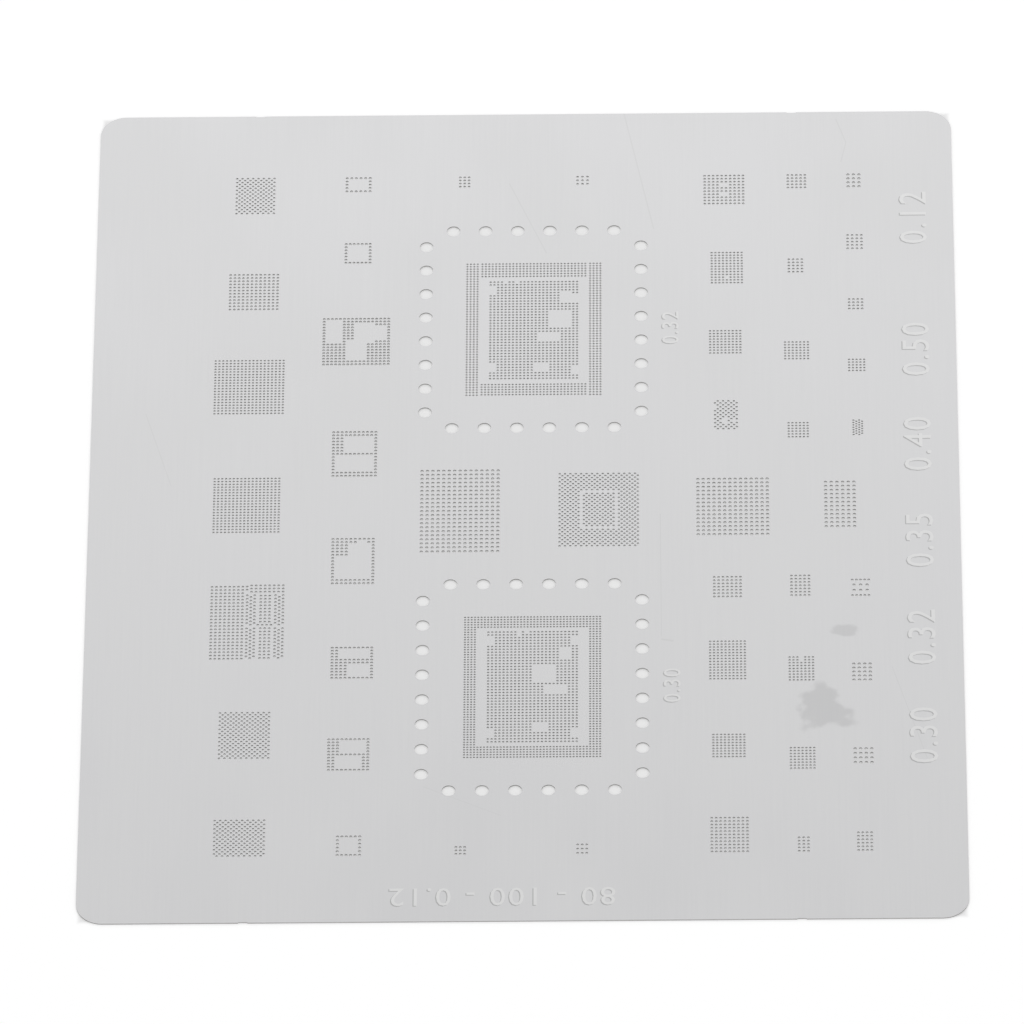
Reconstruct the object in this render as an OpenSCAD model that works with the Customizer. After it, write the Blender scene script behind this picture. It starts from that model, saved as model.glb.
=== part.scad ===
// Solder paste stencil: one laser-cut stainless sheet with a set of aperture
// patterns for many chip packages, two of them ringed with relief holes.
//
// +Z is up and the printed side faces up. The origin is the middle of the
// underside, +X is to the right and +Y to the far edge. Millimetres.

/* [Sheet] */
// Width of the sheet, left to right
sheet_w = 80; // [66:0.5:120]
// Length of the sheet, near to far
sheet_l = 100; // [88:0.5:150]
// Thickness of the sheet
sheet_t = 0.12; // [0.08:0.01:0.2]
// Radius of the four corners
corner_r = 2.4; // [0.5:0.1:4]

/* [Snap-off nicks] */
// Distance between the two nicks along the near and far edges
nick_spacing = 50; // [20:1:60]
// Width of a nick
nick_w = 0.8; // [0.3:0.05:2]
// Depth of a nick
nick_depth = 0.07; // [0.03:0.01:0.3]

/* [Relief holes] */
// Diameter of a relief hole
relief_d = 1.25; // [0.6:0.05:1.9]
// Pitch of the relief holes along a ring
relief_pitch = 3; // [2.5:0.1:3.05]
// Half width of a ring, between the hole centres
ring_half_w = 10; // [9.5:0.1:10.6]
// Half length of a ring, between the hole centres
ring_half_l = 12.5; // [12:0.1:13.4]

/* [Apertures] */
// Aperture diameter at 0.30 and 0.32 mm pitch
fine_d = 0.19; // [0.15:0.005:0.23]
// Aperture diameter at 0.35 mm pitch
small_d = 0.21; // [0.17:0.005:0.26]
// Aperture diameter at 0.40 mm pitch
medium_d = 0.24; // [0.19:0.005:0.29]
// Aperture diameter in the open patterns beside the arrays
wide_d = 0.27; // [0.22:0.005:0.32]
// Aperture diameter at 0.50 mm pitch
large_d = 0.3; // [0.24:0.01:0.36]
// Aperture diameter in the staggered patterns
staggered_d = 0.22; // [0.18:0.005:0.27]

/* [Hidden] */

$fn = 48;

// A deburring pass takes a micrometre off both faces of each field, which is
// the rectangle of sheet round one pattern.
field_rows = 9;
field_margin = 0.03;
field_drop = 0.001;

// How the rows of a pattern follow each other:
GRID = 0;     // every row alike
NARROW = 1;   // the second, fourth and further even rows are one aperture shorter
WIDEN = 2;    // the same rows are one aperture longer
SLANT = 3;    // rows are shifted a quarter pitch to the left and right in turn

// One pattern a row: centre, [columns, rows], [pitch along x, along y],
// aperture diameter, kind of rows, and the blank cells as boxes
// [first column, first row, last column, last row] from the top left.
left_column = [
    [[-25.3, 39.65], [8, 19], [0.5, 0.25], staggered_d, NARROW, []],
    [[-25.25, 27.3], [12, 12], [0.4, 0.4], medium_d, GRID, []],
    [[-25.5, 15.25], [19, 20], [0.35, 0.35], small_d, GRID, []],
    [[-25.5, 0.45], [18, 20], [0.35, 0.35], small_d, GRID, []],
    [[-25.25, -27.7], [10, 23], [0.495, 0.248], staggered_d, NARROW, []],
    [[-25.5, -40], [10, 18], [0.495, 0.248], staggered_d, NARROW, []],
];

// The fifth pattern of the left column is put together from smaller ones.
left_mixed = [
    [[-27.07, -14], [8, 23], [0.402, 0.4], medium_d, GRID, []],
    [[-25.27, -9.78], [1, 2], [0.4, 0.39], medium_d, GRID, []],
    [[-23.42, -9.85], [8, 3], [0.413, 0.388], medium_d, GRID, []],
    [[-24.9, -12.47], [2, 18], [0.68, 0.2125], medium_d, NARROW, []],
    [[-22.31, -12.47], [2, 18], [0.69, 0.2125], medium_d, NARROW, []],
    [[-23.59, -12.31], [3, 9], [0.405, 0.4], medium_d, GRID, []],
    [[-23.62, -14.29], [4, 1], [0.4, 0.4], medium_d, GRID, []],
    [[-24.9, -16.53], [2, 18], [0.68, 0.2125], medium_d, NARROW, []],
    [[-22.31, -16.53], [2, 18], [0.69, 0.2125], medium_d, NARROW, []],
    [[-23.59, -16.52], [3, 10], [0.405, 0.403], medium_d, GRID, []],
];

second_column = [
    [[-15.65, 41], [6, 5], [0.433, 0.425], wide_d, GRID, [[1, 1, 4, 3]]],
    [[-15.6, 32.15], [7, 7], [0.375, 0.4], wide_d, GRID, [[1, 1, 5, 5]]],
    [[-15.65, 20.9], [17, 17], [0.375, 0.36], wide_d, GRID,
        [[1, 1, 4, 8], [8, 2, 12, 2], [8, 3, 15, 7], [6, 8, 12, 8], [6, 9, 10, 14]]],
    [[-15.65, 6.75], [11, 15], [0.39, 0.39], wide_d, GRID, [[3, 2, 9, 6], [1, 8, 9, 12]]],
    [[-15.65, -6.55], [10, 15], [0.41, 0.39], wide_d, GRID,
        [[6, 1, 7, 1], [4, 2, 8, 5], [1, 6, 8, 12]]],
    [[-15.6, -19], [10, 11], [0.4, 0.367], wide_d, GRID, [[2, 1, 8, 3], [4, 6, 8, 9]]],
    [[-15.8, -30.1], [10, 11], [0.394, 0.367], wide_d, GRID, [[3, 1, 8, 4], [2, 6, 7, 9]]],
    [[-15.65, -41], [6, 6], [0.4, 0.44], wide_d, GRID, [[1, 1, 4, 4]]],
];

small_marks = [
    [[-5.7, 41.25], [3, 4], [0.41, 0.4], medium_d, GRID, []],
    [[5.35, 41.35], [3, 3], [0.467, 0.46], medium_d, GRID, []],
    [[-5.6, -41.65], [3, 3], [0.39, 0.404], medium_d, GRID, []],
    [[5.35, -41.55], [3, 3], [0.408, 0.5], medium_d, GRID, []],
];

middle_row = [
    [[-5.9, -0.45], [15, 21], [0.5, 0.5], large_d, GRID, []],
    [[19.15, -0.15], [14, 15], [0.49, 0.49], large_d, GRID, []],
    [[29, 0.05], [6, 12], [0.52, 0.5], large_d, GRID, []],
];

// The staggered square in the middle leaves out a ring of apertures.
middle_square = [[[6.85, -0.4], [15, 37], [0.495, 0.248], staggered_d, SLANT,
    concat([[4, 9, 10, 9], [4, 27, 10, 27]],
        [for (row = [10 : 2 : 26]) [4, row, 4, row]],
        [for (row = [11 : 2 : 25]) [10, row, 10, row]])]];

right_first = [
    [[18.6, 40], [10, 10], [0.4, 0.4], medium_d, GRID, [[4, 3, 5, 3], [4, 6, 5, 6]]],
    [[18.8, 29.95], [9, 12], [0.35, 0.35], small_d, GRID, [[4, 9, 4, 9]]],
    [[18.6, 20.5], [9, 9], [0.35, 0.35], small_d, GRID, []],
    [[18.6, 11.3], [4, 15], [0.5, 0.248], staggered_d, WIDEN,
        [[0, 3, 0, 3], [2, 9, 2, 9], [1, 10, 1, 10], [3, 10, 3, 10], [2, 11, 2, 11]]],
    [[18.6, -10.05], [7, 7], [0.4, 0.4], medium_d, GRID, []],
    [[18.55, -19], [10, 14], [0.35, 0.35], small_d, GRID, []],
    [[18.6, -29.35], [9, 9], [0.35, 0.333], small_d, GRID, []],
    [[18.6, -40], [9, 11], [0.4, 0.4], medium_d, GRID, []],
];

right_second = [
    [[25.4, 41], [5, 5], [0.4, 0.4], medium_d, GRID, []],
    [[25.2, 30.15], [4, 5], [0.406, 0.4], medium_d, GRID, []],
    [[25.2, 19.35], [7, 7], [0.353, 0.35], small_d, GRID, []],
    [[25.25, 9.35], [6, 6], [0.35, 0.35], small_d, GRID, []],
    [[25.25, -9.95], [5, 7], [0.4, 0.4], medium_d, GRID, []],
    [[25.25, -20.1], [7, 9], [0.354, 0.347], small_d, GRID, [[3, 0, 3, 1]]],
    [[25.25, -30.9], [7, 8], [0.353, 0.35], small_d, GRID, []],
    [[25.25, -41.2], [3, 5], [0.417, 0.4], medium_d, GRID, []],
];

right_third = [
    [[30.75, 41.05], [3, 4], [0.51, 0.51], large_d, GRID, []],
    [[30.75, 33.15], [4, 5], [0.432, 0.425], medium_d, GRID, []],
    [[30.75, 25.2], [4, 4], [0.4, 0.4], medium_d, GRID, []],
    [[30.75, 17.45], [5, 5], [0.35, 0.35], small_d, GRID, []],
    [[30.75, 9.6], [2, 13], [0.533, 0.15], fine_d, SLANT, []],
    [[30.75, -9.3], [5, 1], [0.375, 0.4], medium_d, GRID, []],
    [[30.75, -10.25], [3, 2], [0.6, 0.65], large_d, GRID, []],
    [[30.75, -11.2], [5, 1], [0.375, 0.4], medium_d, GRID, []],
    [[30.75, -20.55], [4, 5], [0.495, 0.485], large_d, GRID, []],
    [[30.75, -30.65], [4, 4], [0.5, 0.548], large_d, GRID, []],
    [[30.75, -40.9], [4, 6], [0.396, 0.417], medium_d, GRID, []],
];

// The far array: an inner block inside four bands of finer pitch.
far_array = [
    [[0.825, 22.2], [24, 36], [0.35, 0.35], small_d, GRID,
        [[4, 0, 4, 0], [7, 0, 7, 0], [0, 2, 1, 4], [19, 4, 21, 4], [19, 5, 23, 7],
        [16, 11, 21, 16], [13, 19, 18, 21], [0, 30, 1, 32], [12, 30, 15, 32], [22, 31, 23, 33]]],
];

// The near array: the same idea at 0.30 mm, its bands closed at the corners.
near_array = [
    [[0.825, -22.05], [24, 39], [0.35, 0.35], small_d, GRID,
        [[8, 0, 8, 1], [10, 0, 10, 0], [0, 2, 1, 4], [22, 2, 23, 4], [19, 6, 21, 9],
        [12, 12, 17, 17], [15, 19, 20, 21], [12, 32, 15, 34], [0, 34, 1, 36], [22, 34, 23, 36]]],
];

patterns = concat(left_column, left_mixed, second_column, small_marks, middle_row,
    middle_square, right_first, right_second, right_third, far_array, near_array);

// Centres of the two relief rings, six holes across and eight along.
rings = [[0.8, 22.4], [0.8, -22]];
ring_across = 6;
ring_along = 8;

function centred(index, count, pitch) = (index - (count - 1) / 2) * pitch;

function columns_in(p, row) =
    row % 2 == 0 ? p[1][0] : p[4] == NARROW ? p[1][0] - 1 : p[4] == WIDEN ? p[1][0] + 1 : p[1][0];

function slant_of(p, row) = p[4] != SLANT ? 0 : (row % 2 - 0.5) / 2 * p[2][0];

function is_blank(p, column, row) =
    len([for (b = p[5]) if (column >= b[0] && row >= b[1] && column <= b[2] && row <= b[3]) 1]) > 0;

// Width of a pattern between its outermost aperture centres.
function span_x(p) = p[2][0] * (p[1][0] - 1 + (p[4] == WIDEN ? 1 : p[4] == SLANT ? 0.5 : 0));

module sheet_outline() {
    square([sheet_w - 2 * corner_r, sheet_l], center = true);
    square([sheet_w, sheet_l - 2 * corner_r], center = true);
    for (x = [-1, 1], y = [-1, 1])
        translate([x * (sheet_w / 2 - corner_r), y * (sheet_l / 2 - corner_r)])
            circle(r = corner_r);
}

module nicks() {
    for (x = [-1, 1], y = [-1, 1])
        translate([x * nick_spacing / 2, y * sheet_l / 2])
            square([nick_w, 2 * nick_depth], center = true);
}

module relief_ring() {
    for (i = [0 : ring_across - 1], side = [-1, 1])
        translate([centred(i, ring_across, relief_pitch), side * ring_half_l])
            circle(d = relief_d);
    for (i = [0 : ring_along - 1], side = [-1, 1])
        translate([side * ring_half_w, centred(i, ring_along, relief_pitch)])
            circle(d = relief_d);
}

module apertures(p) {
    for (row = [0 : p[1][1] - 1], column = [0 : columns_in(p, row) - 1])
        if (!is_blank(p, column, row))
            translate([centred(column, columns_in(p, row), p[2][0]) + slant_of(p, row),
                -centred(row, p[1][1], p[2][1])])
                circle(d = p[3]);
}

// The fields of a pattern: one for every few rows of a grid, one for a staggered pattern.
module field_plan(p) {
    rows = p[1][1];
    step = p[4] == GRID ? field_rows : rows;
    border = p[3] + 2 * field_margin;
    for (first = [0 : step : rows - 1]) {
        last = min(first + step, rows) - 1;
        translate([0, -centred((first + last) / 2, rows, p[2][1])])
            square([span_x(p) + border, (last - first) * p[2][1] + border], center = true);
    }
}

module fields() {
    translate([0, 0, field_drop])
        linear_extrude(sheet_t - 2 * field_drop)
            difference() {
                for (p = patterns)
                    translate(p[0])
                        field_plan(p);
                for (p = patterns)
                    translate(p[0])
                        apertures(p);
            }
}

module plate() {
    linear_extrude(sheet_t)
        difference() {
            sheet_outline();
            nicks();
            for (at = rings)
                translate(at)
                    relief_ring();
            for (p = patterns)
                translate(p[0])
                    field_plan(p);
        }
}

module stencil_sheet() {
    color("silver")
        union() {
            plate();
            fields();
        }
}

stencil_sheet();
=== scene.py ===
# Solder paste stencil: one sheet of stainless foil, laser cut with aperture patterns for many
# chip packages.
import math

import bpy
import numpy as np
from mathutils import Matrix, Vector
from mathutils.geometry import delaunay_2d_cdt


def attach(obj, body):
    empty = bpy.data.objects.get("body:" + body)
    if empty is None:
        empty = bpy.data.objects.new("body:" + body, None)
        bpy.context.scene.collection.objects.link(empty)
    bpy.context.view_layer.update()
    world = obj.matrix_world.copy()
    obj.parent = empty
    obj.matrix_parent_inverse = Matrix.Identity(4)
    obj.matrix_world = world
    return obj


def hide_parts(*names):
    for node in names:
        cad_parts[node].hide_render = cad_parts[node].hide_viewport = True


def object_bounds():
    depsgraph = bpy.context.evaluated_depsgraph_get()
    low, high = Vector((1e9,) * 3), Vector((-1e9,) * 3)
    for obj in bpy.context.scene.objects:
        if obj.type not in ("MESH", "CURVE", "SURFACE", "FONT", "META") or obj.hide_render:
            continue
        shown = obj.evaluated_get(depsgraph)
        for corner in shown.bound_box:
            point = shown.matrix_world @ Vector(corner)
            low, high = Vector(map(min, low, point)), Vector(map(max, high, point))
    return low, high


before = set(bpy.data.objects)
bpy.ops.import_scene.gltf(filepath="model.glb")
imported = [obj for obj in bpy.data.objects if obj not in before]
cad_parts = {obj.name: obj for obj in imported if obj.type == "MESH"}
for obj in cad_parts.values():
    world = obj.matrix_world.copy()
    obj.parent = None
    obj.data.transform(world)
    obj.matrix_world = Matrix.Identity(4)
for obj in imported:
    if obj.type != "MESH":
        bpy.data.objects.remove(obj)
cad_low, cad_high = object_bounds()

MM = 0.001


# ---- Apertures ----
# Round openings cut by laser, one for each solder ball of a package. A pattern is a grid with some balls
# left out, or staggered rows. Each line below is one pattern, in millimetres from the middle of the sheet:
# centre, (columns, rows), (pitch across, pitch along), diameter, kind of rows, and blank boxes
# (first column, first row, last column, last row) counted from the top left.

FINE, SMALL, MEDIUM, WIDE, LARGE, STAGGERED = 0.19, 0.21, 0.24, 0.27, 0.3, 0.22
APERTURE_SIDES = 12

left_patterns = [
    ((-25.3, 39.65), (8, 19), (0.5, 0.25), STAGGERED, "narrow", []),
    ((-25.25, 27.3), (12, 12), (0.4, 0.4), MEDIUM, "grid", []),
    ((-25.5, 15.25), (19, 20), (0.35, 0.35), SMALL, "grid", []),
    ((-25.5, 0.45), (18, 20), (0.35, 0.35), SMALL, "grid", []),
    ((-27.07, -14), (8, 23), (0.402, 0.4), MEDIUM, "grid", []),
    ((-25.27, -9.78), (1, 2), (0.4, 0.39), MEDIUM, "grid", []),
    ((-23.42, -9.85), (8, 3), (0.413, 0.388), MEDIUM, "grid", []),
    ((-24.9, -12.47), (2, 18), (0.68, 0.2125), MEDIUM, "narrow", []),
    ((-22.31, -12.47), (2, 18), (0.69, 0.2125), MEDIUM, "narrow", []),
    ((-23.59, -12.31), (3, 9), (0.405, 0.4), MEDIUM, "grid", []),
    ((-23.62, -14.29), (4, 1), (0.4, 0.4), MEDIUM, "grid", []),
    ((-24.9, -16.53), (2, 18), (0.68, 0.2125), MEDIUM, "narrow", []),
    ((-22.31, -16.53), (2, 18), (0.69, 0.2125), MEDIUM, "narrow", []),
    ((-23.59, -16.52), (3, 10), (0.405, 0.403), MEDIUM, "grid", []),
    ((-25.25, -27.7), (10, 23), (0.495, 0.248), STAGGERED, "narrow", []),
    ((-25.5, -40), (10, 18), (0.495, 0.248), STAGGERED, "narrow", []),
    ((-15.65, 41), (6, 5), (0.433, 0.425), WIDE, "grid", [(1, 1, 4, 3)]),
    ((-15.6, 32.15), (7, 7), (0.375, 0.4), WIDE, "grid", [(1, 1, 5, 5)]),
    ((-15.65, 20.9), (17, 17), (0.375, 0.36), WIDE, "grid",
        [(1, 1, 4, 8), (8, 2, 12, 2), (8, 3, 15, 7), (6, 8, 12, 8), (6, 9, 10, 14)]),
    ((-15.65, 6.75), (11, 15), (0.39, 0.39), WIDE, "grid", [(3, 2, 9, 6), (1, 8, 9, 12)]),
    ((-15.65, -6.55), (10, 15), (0.41, 0.39), WIDE, "grid", [(6, 1, 7, 1), (4, 2, 8, 5), (1, 6, 8, 12)]),
    ((-15.6, -19), (10, 11), (0.4, 0.367), WIDE, "grid", [(2, 1, 8, 3), (4, 6, 8, 9)]),
    ((-15.8, -30.1), (10, 11), (0.394, 0.367), WIDE, "grid", [(3, 1, 8, 4), (2, 6, 7, 9)]),
    ((-15.65, -41), (6, 6), (0.4, 0.44), WIDE, "grid", [(1, 1, 4, 4)]),
]
far_patterns = [
    ((-5.7, 41.25), (3, 4), (0.41, 0.4), MEDIUM, "grid", []),
    ((5.35, 41.35), (3, 3), (0.467, 0.46), MEDIUM, "grid", []),
    ((0.825, 22.2), (24, 36), (0.35, 0.35), SMALL, "grid",
        [(4, 0, 4, 0), (7, 0, 7, 0), (0, 2, 1, 4), (19, 4, 21, 4), (19, 5, 23, 7), (16, 11, 21, 16),
        (13, 19, 18, 21), (0, 30, 1, 32), (12, 30, 15, 32), (22, 31, 23, 33)]),
    ((-4.9, 22.32), (4, 53), (0.32, 0.32), FINE, "grid", []),
    ((6.54, 22.32), (4, 53), (0.32, 0.32), FINE, "grid", []),
    ((0.82, 29.84), (31, 6), (0.32, 0.32), FINE, "grid", []),
    ((0.82, 14.68), (31, 5), (0.32, 0.32), FINE, "grid", []),
]
middle_patterns = [
    ((-5.9, -0.45), (15, 21), (0.5, 0.5), LARGE, "grid", []),
    ((6.85, -0.4), (15, 37), (0.495, 0.248), STAGGERED, "slant",
        [(4, 9, 10, 9), (4, 27, 10, 27)]
        + [(4, row, 4, row) for row in range(10, 27, 2)]
        + [(10, row, 10, row) for row in range(11, 26, 2)]),
]
near_patterns = [
    ((0.825, -22.05), (24, 39), (0.35, 0.35), SMALL, "grid",
        [(8, 0, 8, 1), (10, 0, 10, 0), (0, 2, 1, 4), (22, 2, 23, 4), (19, 6, 21, 9), (12, 12, 17, 17),
        (15, 19, 20, 21), (12, 32, 15, 34), (0, 34, 1, 36), (22, 34, 23, 36)]),
    ((-4.88, -22.06), (4, 47), (0.3, 0.303), FINE, "grid", []),
    ((6.52, -22.06), (4, 47), (0.3, 0.303), FINE, "grid", []),
    ((0.82, -14.182), (42, 5), (0.3, 0.303), FINE, "grid", []),
    ((0.82, -29.938), (42, 5), (0.3, 0.303), FINE, "grid", []),
    ((-5.6, -41.65), (3, 3), (0.39, 0.404), MEDIUM, "grid", []),
    ((5.35, -41.55), (3, 3), (0.408, 0.5), MEDIUM, "grid", []),
]
right_patterns = [
    ((19.15, -0.15), (14, 15), (0.49, 0.49), LARGE, "grid", []),
    ((29, 0.05), (6, 12), (0.52, 0.5), LARGE, "grid", []),
    ((18.6, 40), (10, 10), (0.4, 0.4), MEDIUM, "grid", [(4, 3, 5, 3), (4, 6, 5, 6)]),
    ((18.8, 29.95), (9, 12), (0.35, 0.35), SMALL, "grid", [(4, 9, 4, 9)]),
    ((18.6, 20.5), (9, 9), (0.35, 0.35), SMALL, "grid", []),
    ((18.6, 11.3), (4, 15), (0.5, 0.248), STAGGERED, "widen",
        [(0, 3, 0, 3), (2, 9, 2, 9), (1, 10, 1, 10), (3, 10, 3, 10), (2, 11, 2, 11)]),
    ((18.6, -10.05), (7, 7), (0.4, 0.4), MEDIUM, "grid", []),
    ((18.55, -19), (10, 14), (0.35, 0.35), SMALL, "grid", []),
    ((18.6, -29.35), (9, 9), (0.35, 0.333), SMALL, "grid", []),
    ((18.6, -40), (9, 11), (0.4, 0.4), MEDIUM, "grid", []),
    ((25.4, 41), (5, 5), (0.4, 0.4), MEDIUM, "grid", []),
    ((25.2, 30.15), (4, 5), (0.406, 0.4), MEDIUM, "grid", []),
    ((25.2, 19.35), (7, 7), (0.353, 0.35), SMALL, "grid", []),
    ((25.25, 9.35), (6, 6), (0.35, 0.35), SMALL, "grid", []),
    ((25.25, -9.95), (5, 7), (0.4, 0.4), MEDIUM, "grid", []),
    ((25.25, -20.1), (7, 9), (0.354, 0.347), SMALL, "grid", [(3, 0, 3, 1)]),
    ((25.25, -30.9), (7, 8), (0.353, 0.35), SMALL, "grid", []),
    ((25.25, -41.2), (3, 5), (0.417, 0.4), MEDIUM, "grid", []),
    ((30.75, 41.05), (3, 4), (0.51, 0.51), LARGE, "grid", []),
    ((30.75, 33.15), (4, 5), (0.432, 0.425), MEDIUM, "grid", []),
    ((30.75, 25.2), (4, 4), (0.4, 0.4), MEDIUM, "grid", []),
    ((30.75, 17.45), (5, 5), (0.35, 0.35), SMALL, "grid", []),
    ((30.75, 9.6), (2, 13), (0.533, 0.15), FINE, "slant", []),
    ((30.75, -9.3), (5, 1), (0.375, 0.4), MEDIUM, "grid", []),
    ((30.75, -10.25), (3, 2), (0.6, 0.65), LARGE, "grid", []),
    ((30.75, -11.2), (5, 1), (0.375, 0.4), MEDIUM, "grid", []),
    ((30.75, -20.55), (4, 5), (0.495, 0.485), LARGE, "grid", []),
    ((30.75, -30.65), (4, 4), (0.5, 0.548), LARGE, "grid", []),
    ((30.75, -40.9), (4, 6), (0.396, 0.417), MEDIUM, "grid", []),
]


def aperture_centres(centre, size, pitch, kind, blanks):
    """Centres of a pattern's apertures. Each row is centred on the pattern, so a row with one aperture
    fewer or more moves by half a pitch, and the rows of a slanted pattern move a quarter pitch left and
    right in turn."""
    columns, rows = size
    row, column = np.meshgrid(np.arange(rows), np.arange(columns + 1), indexing="ij")
    odd = row % 2
    count = columns + odd * {"narrow": -1, "widen": 1}.get(kind, 0)
    shift = (odd - 0.5) / 2 * pitch[0] if kind == "slant" else 0
    cut = column < count
    for first_column, first_row, last_column, last_row in blanks:
        inside = (column >= first_column) & (column <= last_column) & (row >= first_row) & (row <= last_row)
        cut &= ~inside
    x = centre[0] + (column - (count - 1) / 2) * pitch[0] + shift
    y = centre[1] - (row - (rows - 1) / 2) * pitch[1]
    return np.stack([x[cut], y[cut]], axis=1)


def round_holes(centres, diameter, sides):
    """One polygon round each centre, with the area of the circle: the centre plus the radius times the
    cosine and sine of equal steps of a turn."""
    turn = 2 * math.pi * (np.arange(sides) + 0.5) / sides
    radius = diameter / 2 * math.sqrt(2 * math.pi / sides / math.sin(2 * math.pi / sides))
    circle = radius * np.stack([np.cos(turn), np.sin(turn)], axis=1)
    return list(centres[:, None, :] + circle[None, :, :])


def pattern_holes(patterns):
    """The outlines of all the apertures of these patterns."""
    loops = []
    for centre, size, pitch, diameter, kind, blanks in patterns:
        loops += round_holes(aperture_centres(centre, size, pitch, kind, blanks), diameter, APERTURE_SIDES)
    return loops


# ---- Relief holes ----
# Larger round holes in a ring about each of the two big arrays. They let the foil stretch evenly when
# it warms.

RELIEF_DIAMETER = 1.25
RELIEF_PITCH = 3.0
RELIEF_SIDES = 40
RING_HALF_WIDTH, RING_HALF_LENGTH = 10.0, 12.5
FAR_RING, NEAR_RING = (0.8, 22.4), (0.8, -22.0)


def relief_ring(x, y):
    """Six holes along each short side of the ring and eight along each long side, all at one pitch."""
    across = (np.arange(6) - 2.5) * RELIEF_PITCH
    along = (np.arange(8) - 3.5) * RELIEF_PITCH
    centres = np.concatenate([
        np.stack([x + across, y + side * RING_HALF_LENGTH + 0 * across], axis=1) for side in (-1, 1)
    ] + [
        np.stack([x + side * RING_HALF_WIDTH + 0 * along, y + along], axis=1) for side in (-1, 1)
    ])
    return round_holes(centres, RELIEF_DIAMETER, RELIEF_SIDES)


# ---- Sheet ----
# Rolled stainless foil, about an eighth of a millimetre thick, with rounded corners and two small nicks in
# the near edge and in the far edge, where it was snapped out of its carrier. It is made in five blocks that
# meet edge to edge.

HALF_W = (cad_high.x - cad_low.x) / 2 / MM
HALF_L = (cad_high.y - cad_low.y) / 2 / MM
THICKNESS = (cad_high.z - cad_low.z) / MM
CORNER_RADIUS = 2.4
CORNER_POINTS = 13
NICK_X, NICK_WIDTH, NICK_DEPTH = 25.0, 0.8, 0.07
SEAM_LEFT, SEAM_RIGHT, SEAM_NEAR, SEAM_FAR = -10.3, 12.0, -7.0, 7.0
SAME_PLACE = 1e-9
WELD = 1e-7


def end_block_outline(seam):
    """Counter-clockwise outline of the left or right end of the sheet, beyond a seam: the far edge with its
    nick, two quarter turns at the corners, the near edge with its nick, and the seam. The right end is the
    left one mirrored."""
    turn = np.linspace(math.pi / 2, math.pi, CORNER_POINTS)
    corner = CORNER_RADIUS * np.stack([np.cos(turn), np.sin(turn)], axis=1)
    far_corner = corner + [CORNER_RADIUS - HALF_W, HALF_L - CORNER_RADIUS]
    nick = [
        (-NICK_X + NICK_WIDTH / 2, HALF_L), (-NICK_X + NICK_WIDTH / 2, HALF_L - NICK_DEPTH),
        (-NICK_X - NICK_WIDTH / 2, HALF_L - NICK_DEPTH), (-NICK_X - NICK_WIDTH / 2, HALF_L),
    ]
    far_half = np.concatenate([[(-abs(seam), HALF_L)], nick, far_corner])
    near_half = far_half[::-1] * [1, -1]
    seam_points = [(-abs(seam), SEAM_NEAR), (-abs(seam), SEAM_FAR)]
    outline = np.concatenate([far_half, near_half, seam_points])
    return outline if seam < 0 else outline[::-1] * [-1, 1]


def middle_block_outline(low, high):
    """The rectangle between the two seams, from one distance along the sheet to another."""
    return np.array([(SEAM_LEFT, low), (SEAM_RIGHT, low), (SEAM_RIGHT, high), (SEAM_LEFT, high)])


def on_seam(a, b):
    """Whether the edge from a to b lies on one of the four seams, where a block has no wall."""
    same_x, same_y = (np.abs(a - b) < SAME_PLACE).T
    x_seam = np.isclose(a[:, 0], SEAM_LEFT) | np.isclose(a[:, 0], SEAM_RIGHT)
    y_seam = np.isclose(a[:, 1], SEAM_NEAR) | np.isclose(a[:, 1], SEAM_FAR)
    return (same_x & x_seam) | (same_y & y_seam)


def cut_block(name, outline, loops, materials):
    """A flat block of foil. Its plan is the outline and the hole loops joined by triangles, less the
    triangles whose three corners belong to one loop. The plan is laid at the top and, turned over, at the
    underside, and a strip of quads follows each loop and the free part of the outline from one to the
    other."""
    plan = np.concatenate([outline] + loops)
    sizes = np.array([len(outline)] + [len(loop) for loop in loops])
    first = np.concatenate([[0], np.cumsum(sizes)[:-1]])
    owner = np.repeat(np.arange(len(sizes)), sizes)
    start = np.arange(len(plan))
    end = np.where(start + 1 == (first + sizes)[owner], first[owner], start + 1)

    edges = np.stack([start, end], axis=1)
    _, _, faces, sources, _, _ = delaunay_2d_cdt(plan.tolist(), edges.tolist(), [], 1, WELD)
    source = np.array([s[0] for s in sources])
    triangles = source[np.array(faces)]
    loop_of = owner[triangles]
    spans_hole = (loop_of[:, 0] > 0) & (loop_of[:, 0] == loop_of[:, 1]) & (loop_of[:, 0] == loop_of[:, 2])
    triangles = triangles[~spans_hole]
    a, b, c = plan[triangles[:, 0]], plan[triangles[:, 1]], plan[triangles[:, 2]]
    clockwise = (b - a)[:, 0] * (c - a)[:, 1] < (b - a)[:, 1] * (c - a)[:, 0]
    triangles[clockwise] = triangles[clockwise][:, ::-1]

    count = len(plan)
    hole_edge = owner > 0
    rim_edge = ~hole_edge & ~on_seam(plan[start], plan[end])
    s, e = start[hole_edge], end[hole_edge]
    hole_walls = np.stack([s, e, e + count, s + count], axis=1)
    s, e = start[rim_edge], end[rim_edge]
    rim_walls = np.stack([s, s + count, e + count, e], axis=1)
    top = np.column_stack([plan, np.full(count, THICKNESS)])
    underside = np.column_stack([plan, np.zeros(count)])

    flat_faces = triangles.tolist() + (triangles[:, ::-1] + count).tolist()
    mesh = bpy.data.meshes.new(name)
    mesh.from_pydata(
        (np.concatenate([top, underside]) * MM).tolist(), [],
        flat_faces + hole_walls.tolist() + rim_walls.tolist(),
    )
    slots = np.zeros(len(mesh.polygons), dtype=np.int32)
    slots[len(flat_faces):] = 1
    mesh.polygons.foreach_set("material_index", slots)
    for material in materials:
        mesh.materials.append(material)
    mesh.update()
    block = bpy.data.objects.new(name, mesh)
    bpy.context.scene.collection.objects.link(block)
    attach(block, "root")
    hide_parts("stencil_sheet")


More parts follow.
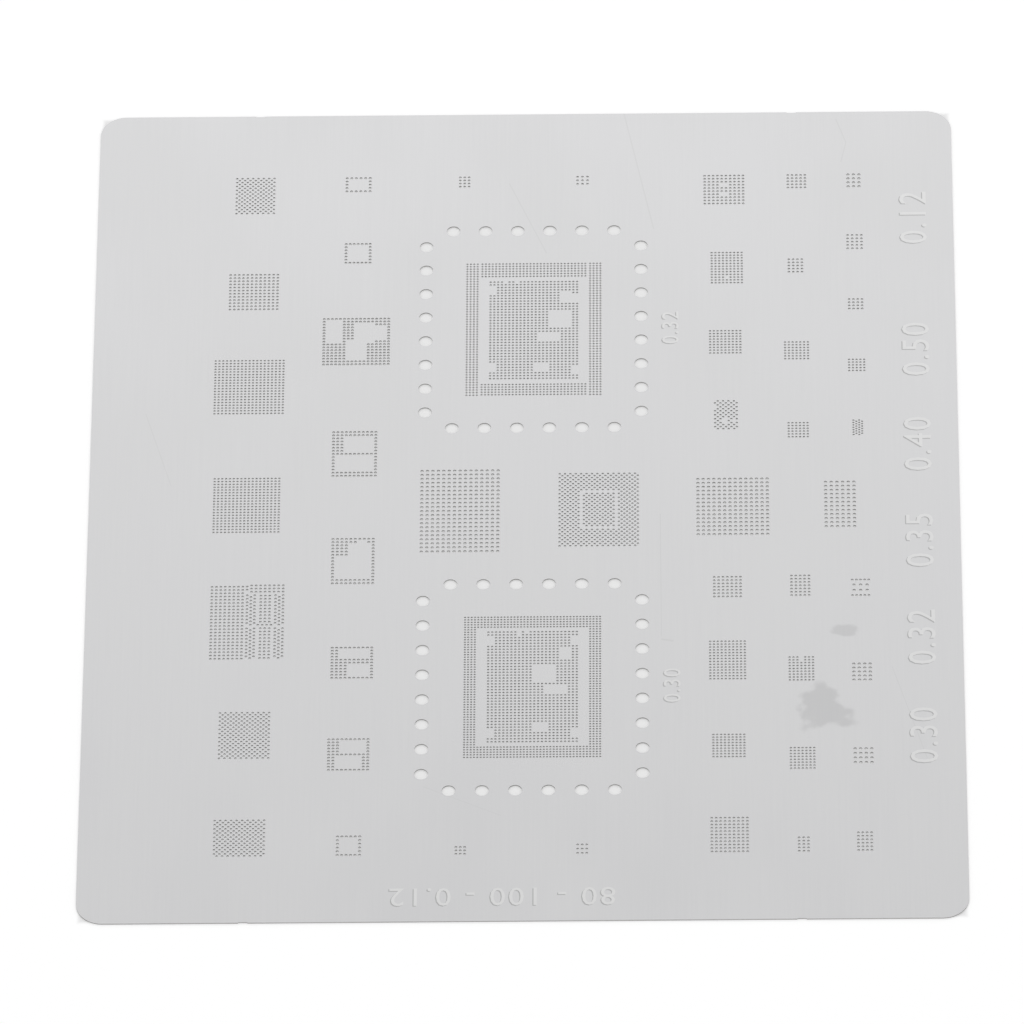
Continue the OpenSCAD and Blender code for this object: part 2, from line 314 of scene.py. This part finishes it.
def new_material(name):
    """A new material, its node tree, its surface shader and its Object coordinates."""
    material = bpy.data.materials.new(name)
    material.use_nodes = True
    tree = material.node_tree
    coordinates = tree.nodes.new("ShaderNodeTexCoord").outputs["Object"]
    return material, tree, tree.nodes["Principled BSDF"], coordinates


def noise(tree, coordinates, scale, detail=2.0, roughness=0.5):
    """Noise between 0 and 1, stretched by a scale for each axis in cycles a metre."""
    mapping = tree.nodes.new("ShaderNodeMapping")
    mapping.inputs["Scale"].default_value = scale
    tree.links.new(coordinates, mapping.inputs["Vector"])
    texture = tree.nodes.new("ShaderNodeTexNoise")
    texture.inputs["Scale"].default_value = 1.0
    texture.inputs["Detail"].default_value = detail
    texture.inputs["Roughness"].default_value = roughness
    tree.links.new(mapping.outputs["Vector"], texture.inputs["Vector"])
    return texture.outputs["Fac"]


def maths(tree, operation, a, b=None):
    """One Math node; a and b are sockets or numbers."""
    node = tree.nodes.new("ShaderNodeMath")
    node.operation = operation
    for socket, value in zip(node.inputs, (a, b)):
        if isinstance(value, (int, float)):
            socket.default_value = value
        elif value is not None:
            tree.links.new(value, socket)
    return node.outputs[0]


def ramp(tree, value, low, high, to_low=0.0, to_high=1.0):
    """The value carried smoothly from one range to another, and held at its ends."""
    node = tree.nodes.new("ShaderNodeMapRange")
    node.interpolation_type = "SMOOTHSTEP"
    names = ("From Min", "From Max", "To Min", "To Max")
    for socket, number in zip(names, (low, high, to_low, to_high)):
        node.inputs[socket].default_value = number
    tree.links.new(value, node.inputs["Value"])
    return node.outputs[0]


def blend_colour(tree, factor, first, second):
    """The first colour turning into the second as the factor goes from 0 to 1."""
    node = tree.nodes.new("ShaderNodeMix")
    node.data_type = "RGBA"
    tree.links.new(factor, node.inputs["Factor"])
    for socket, colour in ((node.inputs["A"], first), (node.inputs["B"], second)):
        if isinstance(colour, tuple):
            socket.default_value = (*colour, 1.0)
        else:
            tree.links.new(colour, socket)
    return node.outputs["Result"]


def scratch(tree, coordinates, start, end, width):
    """A fine straight scratch on the top: 1 on the line between two points and 0 beyond its width. The
    distance is measured across the line, plus how far a point lies past either end."""
    (x0, y0), (x1, y1) = (np.array(start) * MM, np.array(end) * MM)
    length = math.hypot(x1 - x0, y1 - y0)
    mapping = tree.nodes.new("ShaderNodeMapping")
    mapping.vector_type = "TEXTURE"
    mapping.inputs["Location"].default_value = (x0, y0, 0)
    mapping.inputs["Rotation"].default_value = (0, 0, math.atan2(y1 - y0, x1 - x0))
    tree.links.new(coordinates, mapping.inputs["Vector"])
    parts = tree.nodes.new("ShaderNodeSeparateXYZ")
    tree.links.new(mapping.outputs["Vector"], parts.inputs["Vector"])
    held = maths(tree, "MINIMUM", maths(tree, "MAXIMUM", parts.outputs["X"], 0.0), length)
    past_end = maths(tree, "ABSOLUTE", maths(tree, "SUBTRACT", parts.outputs["X"], held))
    distance = maths(tree, "ADD", maths(tree, "ABSOLUTE", parts.outputs["Y"]), past_end)
    return ramp(tree, distance, width * MM * 0.3, width * MM, 1.0, 0.0)


def patch(tree, coordinates, centre, size, breakup):
    """A stained area of the top, 1 inside and 0 outside: an oval whose edge moves in and out with noise.
    `breakup` is the noise's scale in cycles a metre."""
    mapping = tree.nodes.new("ShaderNodeMapping")
    mapping.vector_type = "TEXTURE"
    mapping.inputs["Location"].default_value = (centre[0] * MM, centre[1] * MM, THICKNESS * MM)
    mapping.inputs["Scale"].default_value = (size[0] * MM, size[1] * MM, 1.0)
    tree.links.new(coordinates, mapping.inputs["Vector"])
    length = tree.nodes.new("ShaderNodeVectorMath")
    length.operation = "LENGTH"
    tree.links.new(mapping.outputs["Vector"], length.inputs[0])
    ragged = maths(tree, "ADD", length.outputs["Value"],
        ramp(tree, noise(tree, coordinates, (breakup,) * 3, 3.0), 0.3, 0.7, -0.3, 0.4))
    return ramp(tree, ragged, 0.65, 1.0, 1.0, 0.0)


STEEL_LIGHT, STEEL_DARK = (0.745, 0.745, 0.75), (0.708, 0.708, 0.716)
STAIN_GREY, SCRATCH_GREY = (0.53, 0.53, 0.53), (0.60, 0.60, 0.60)
STAIN_DEPTH, SCRATCH_DEPTH = 0.16, 0.3
ROLLING_SHARE, CLOUD_SHARE = 0.25, 0.75
ROLLING_BUMP = 0.00002
SCRATCH_LINES = (
    ((9.25, 50), (12, 35), 0.09), ((-1.5, 41), (2, 32), 0.07), ((29.2, 49), (30.1, 46), 0.08),
    ((30.1, 46), (29.6, 43.5), 0.08), ((12.5, -1), (12.55, -16), 0.06), ((-35, 12), (-32.5, 3), 0.05),
    ((33.5, -20), (36.5, -31), 0.05), ((-9, -34), (-2, -37.5), 0.05), ((12.6, -16.4), (13.6, -16.6), 0.16),
)

steel, tree, shader, coordinates = new_material("rolled_steel")
rolling_lines = noise(tree, coordinates, (5000, 90, 90), 3.0, 0.6)
cloudiness = noise(tree, coordinates, (60, 40, 60), 2.0)
stain = maths(tree, "ADD",
    patch(tree, coordinates, (27.3, -25), (3.2, 2.9), 350),
    patch(tree, coordinates, (29.3, -15.5), (1.5, 0.9), 500))
scratches = 0.0
for start, end, width in SCRATCH_LINES:
    scratches = maths(tree, "MAXIMUM", scratches, scratch(tree, coordinates, start, end, width))
tone = maths(tree, "ADD",
    maths(tree, "MULTIPLY", rolling_lines, ROLLING_SHARE),
    maths(tree, "MULTIPLY", cloudiness, CLOUD_SHARE))
colour = blend_colour(tree, ramp(tree, tone, 0.3, 0.7), STEEL_DARK, STEEL_LIGHT)
colour = blend_colour(tree, maths(tree, "MULTIPLY", stain, STAIN_DEPTH), colour, STAIN_GREY)
colour = blend_colour(tree, maths(tree, "MULTIPLY", scratches, SCRATCH_DEPTH), colour, SCRATCH_GREY)
tree.links.new(colour, shader.inputs["Base Color"])
shader.inputs["Metallic"].default_value = 1.0
finish = maths(tree, "ADD",
    ramp(tree, cloudiness, 0.3, 0.7, 0.34, 0.42),
    maths(tree, "MULTIPLY", stain, 0.15))
tree.links.new(finish, shader.inputs["Roughness"])
bump = tree.nodes.new("ShaderNodeBump")
bump.inputs["Strength"].default_value = 0.03
bump.inputs["Distance"].default_value = ROLLING_BUMP
tree.links.new(rolling_lines, bump.inputs["Height"])
tree.links.new(bump.outputs["Normal"], shader.inputs["Normal"])

# The laser leaves its cut walls darker and rougher than the rolled faces; their dark grey is also held low
# as painted shade inside the apertures.
CUT_DARK, CUT_LIGHT = (0.36, 0.355, 0.35), (0.54, 0.535, 0.53)
cut_wall, tree, shader, coordinates = new_material("laser_cut_wall")
melt_lines = noise(tree, coordinates, (9000, 9000, 1500), 2.0)
tree.links.new(blend_colour(tree, melt_lines, CUT_DARK, CUT_LIGHT), shader.inputs["Base Color"])
tree.links.new(ramp(tree, melt_lines, 0.2, 0.8, 0.42, 0.6), shader.inputs["Roughness"])
shader.inputs["Metallic"].default_value = 1.0

for name, outline, loops in (
    ("sheet_left", end_block_outline(SEAM_LEFT), pattern_holes(left_patterns)),
    ("sheet_right", end_block_outline(SEAM_RIGHT), pattern_holes(right_patterns)),
    ("sheet_far", middle_block_outline(SEAM_FAR, HALF_L),
        pattern_holes(far_patterns) + relief_ring(*FAR_RING)),
    ("sheet_middle", middle_block_outline(SEAM_NEAR, SEAM_FAR), pattern_holes(middle_patterns)),
    ("sheet_near", middle_block_outline(-HALF_L, SEAM_NEAR),
        pattern_holes(near_patterns) + relief_ring(*NEAR_RING)),
):
    cut_block(name, outline, loops, (steel, cut_wall))


# ---- Engraved numbers ----
# Plain figures marked by a light pass of the laser: a frosted stroke, too shallow to feel, with a darker
# copy set a little aside as painted shade on one side of it. They give pitches in use on the sheet, its
# width and length, and the thickness of the foil.

MARK_RISE = 0.001
EDGE_SHIFT = 0.09


def frosting_and_painted_shade(name, light, dark, roughness):
    """A matt metallic finish, speckled between two greys: used for the laser-marked stroke and, in darker
    greys, for the painted shade beside it.
    """
    material, tree, shader, coordinates = new_material(name)
    speckle = noise(tree, coordinates, (6000, 6000, 6000), 2.0)
    tree.links.new(blend_colour(tree, speckle, dark, light), shader.inputs["Base Color"])
    matt = ramp(tree, speckle, 0.2, 0.8, roughness - 0.06, roughness + 0.06)
    tree.links.new(matt, shader.inputs["Roughness"])
    shader.inputs["Metallic"].default_value = 1.0
    return material


frosted_stroke = frosting_and_painted_shade("frosted_stroke", (0.83, 0.83, 0.83), (0.77, 0.77, 0.77), 0.42)
# Darker greys for a copy of each line of figures: painted shade on one side of the strokes.
painted_stroke_shade = frosting_and_painted_shade("painted_stroke_shade", (0.56, 0.56, 0.56), (0.50, 0.50, 0.50), 0.5)


def figures(name, text, height, place, turn, rise, material):
    """A line of figures as a flat mesh, turned about its middle and laid on the sheet."""
    curve = bpy.data.curves.new(name, "FONT")
    curve.body = text
    curve.size = height * MM
    curve.align_x, curve.align_y = "CENTER", "CENTER"
    curve.resolution_u = 3
    curve.space_character = 1.12
    source = bpy.data.objects.new(name + "_line", curve)
    bpy.context.scene.collection.objects.link(source)
    bpy.context.view_layer.update()
    mesh = bpy.data.meshes.new_from_object(source.evaluated_get(bpy.context.evaluated_depsgraph_get()))
    bpy.data.objects.remove(source)
    x, y = place
    laid = Matrix.Translation((x * MM, y * MM, (THICKNESS + rise) * MM))
    mesh.transform(laid @ Matrix.Rotation(math.radians(turn), 4, "Z"))
    mesh.materials.clear()
    mesh.materials.append(material)
    piece = bpy.data.objects.new(name, mesh)
    bpy.context.scene.collection.objects.link(piece)
    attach(piece, "root")


for name, text, height, place, turn in (
    ("pitch_figures", "0.30    0.32    0.35    0.40    0.50        0.12", 3.6, (36.4, 4.0), 90),
    ("far_array_figures", "0.32", 2.2, (13.6, 22.4), 90),
    ("near_array_figures", "0.30", 2.2, (13.6, -22.0), 90),
    ("size_figures", "80 - 100 - 0.12", 3.0, (-1.8, -47.0), 180),
):
    # Each line of figures gets a darker copy shifted to one side beneath it: painted shade of the engraved
    # stroke.
    shaded_side = (place[0] - EDGE_SHIFT, place[1] - EDGE_SHIFT)
    figures(name + "_edge", text, height, shaded_side, turn, MARK_RISE, painted_stroke_shade)
    figures(name, text, height, place, turn, 2 * MARK_RISE, frosted_stroke)


# ---- Bench, light and camera ----
# The sheet lies on a plain white bench under an even studio sky, with one large soft lamp on the far side.
# The bench glows a little where it is seen directly or mirrored, and less under the sheet than beside it,
# as painted shade of the sheet on the bench.

LIFT_IN_OPEN, LIFT_IN_SHEET_SHADE = 0.39, 0.20
LIFT_FADE = 0.0005
BENCH_SIZE, BENCH_GAP = 6.0, 0.000002

bpy.ops.mesh.primitive_plane_add(size=BENCH_SIZE, location=(0, 0, -BENCH_GAP))
bench = bpy.context.active_object
bench.name = "bench"
bench_white, tree, shader, coordinates = new_material("bench_white")
shader.inputs["Base Color"].default_value = (0.92, 0.92, 0.92, 1.0)
shader.inputs["Roughness"].default_value = 0.9
path = tree.nodes.new("ShaderNodeLightPath")
seen = maths(tree, "MAXIMUM", path.outputs["Is Camera Ray"],
    maths(tree, "MAXIMUM", path.outputs["Is Glossy Ray"], path.outputs["Is Transmission Ray"]))
place = tree.nodes.new("ShaderNodeSeparateXYZ")
tree.links.new(coordinates, place.inputs["Vector"])
beyond = maths(tree, "MAXIMUM",
    maths(tree, "SUBTRACT", maths(tree, "ABSOLUTE", place.outputs["X"]), HALF_W * MM),
    maths(tree, "SUBTRACT", maths(tree, "ABSOLUTE", place.outputs["Y"]), HALF_L * MM))
# A lower glow under the sheet's outline than in the open: painted shade of the sheet on the bench.
lift = ramp(tree, beyond, -LIFT_FADE, 0.0, LIFT_IN_SHEET_SHADE, LIFT_IN_OPEN)
shader.inputs["Emission Color"].default_value = (1.0, 1.0, 1.0, 1.0)
tree.links.new(maths(tree, "MULTIPLY", seen, lift), shader.inputs["Emission Strength"])
bench.data.materials.append(bench_white)

sky = bpy.data.worlds.new("studio_sky")
sky.use_nodes = True
sky.node_tree.nodes["Background"].inputs["Color"].default_value = (1.0, 1.0, 1.0, 1.0)
sky.node_tree.nodes["Background"].inputs["Strength"].default_value = 0.6
bpy.context.scene.world = sky

lamp = bpy.data.lights.new("far_softbox", "AREA")
lamp.shape, lamp.size, lamp.size_y = "RECTANGLE", 1.6, 0.8
lamp.energy = 2.9
far_softbox = bpy.data.objects.new("far_softbox", lamp)
far_softbox.location = (0.0, 1.13, 0.68)
far_softbox.rotation_euler = (math.radians(-59), 0, 0)
bpy.context.scene.collection.objects.link(far_softbox)

lens = bpy.data.cameras.new("long_lens")
lens.lens, lens.sensor_width = 489.5, 36.0
lens.clip_start, lens.clip_end = 0.05, 20.0
camera = bpy.data.objects.new("long_lens", lens)
camera.location = (0.016917, -0.860061, 0.945390)
camera.rotation_euler = (math.radians(42.2759), math.radians(0.8975), math.radians(0.2144))
bpy.context.scene.collection.objects.link(camera)
bpy.context.scene.camera = camera
bpy.context.scene.view_settings.view_transform = "Standard"
